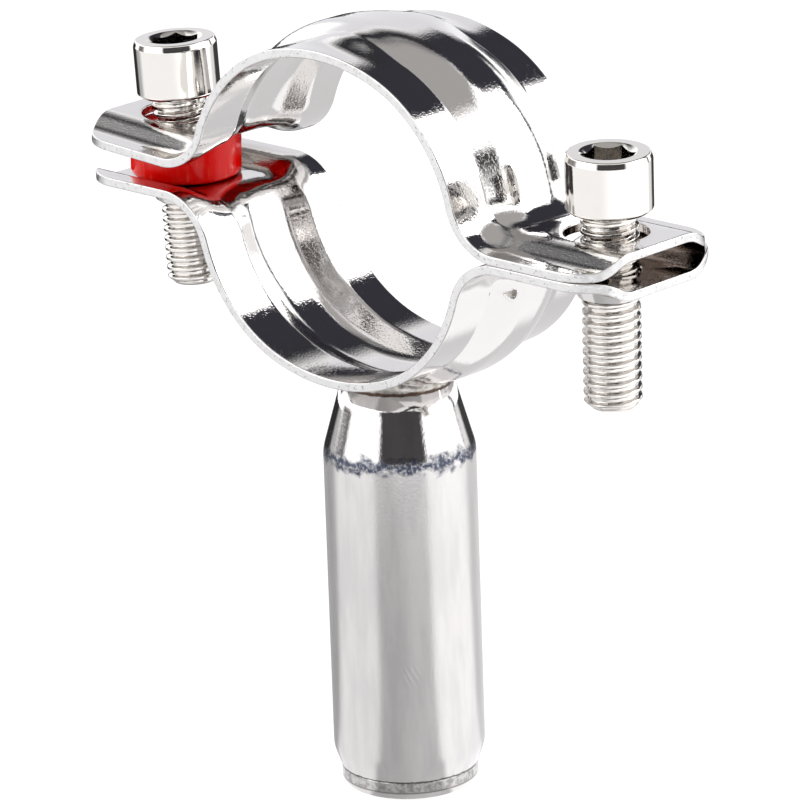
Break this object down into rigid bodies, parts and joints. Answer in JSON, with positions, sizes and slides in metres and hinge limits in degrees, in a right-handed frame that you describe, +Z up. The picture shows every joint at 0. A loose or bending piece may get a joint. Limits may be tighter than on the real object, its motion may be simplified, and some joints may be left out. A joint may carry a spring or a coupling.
{
  "type": "pipe clamp",
  "caption": "Split ring pipe clamp of stamped ribbed sheet, closed by socket head screws through its ears, with a tubular stem welded below.",
  "frame": {"origin": "centre of the stem's foot, on the plane of its end face", "axes": "+Z up the stem to the ring, X along the ears, Y along the pipe that the ring holds"},
  "size_m": [0.0982, 0.0268, 0.1104],
  "materials": {
    "strap": "mirror polished",
    "screw": "bright",
    "stem": "fine ground satin",
    "weld": "dull, heat tinted",
    "sleeve": "gloss"
  },
  "bodies": {
    "base": {"stem_tube": "stem", "weld_bead": "weld", "lower_strap": "strap", "spacer_sleeve": "sleeve"},
    "cap": {"upper_strap": "strap"},
    "left_screw": {"screw_left": "screw"},
    "right_screw": {"screw_right": "screw"}
  },
  "joints": [
    {"name": "strap_lift", "type": "slide", "parent": "base", "child": "cap", "axis": [0, 0, 1], "range_m": [0, 0.0022]},
    {"name": "left_screw_turn", "type": "hinge", "parent": "base", "child": "left_screw", "pos_m": [-0.04, 0, 0.08025], "axis": [-0.0401, -0.0227, 0.9989], "continuous": true},
    {"name": "right_screw_turn", "type": "hinge", "parent": "base", "child": "right_screw", "pos_m": [0.04, 0, 0.08025], "axis": [0.0244, -0.0244, 0.9994], "continuous": true}
  ]
}
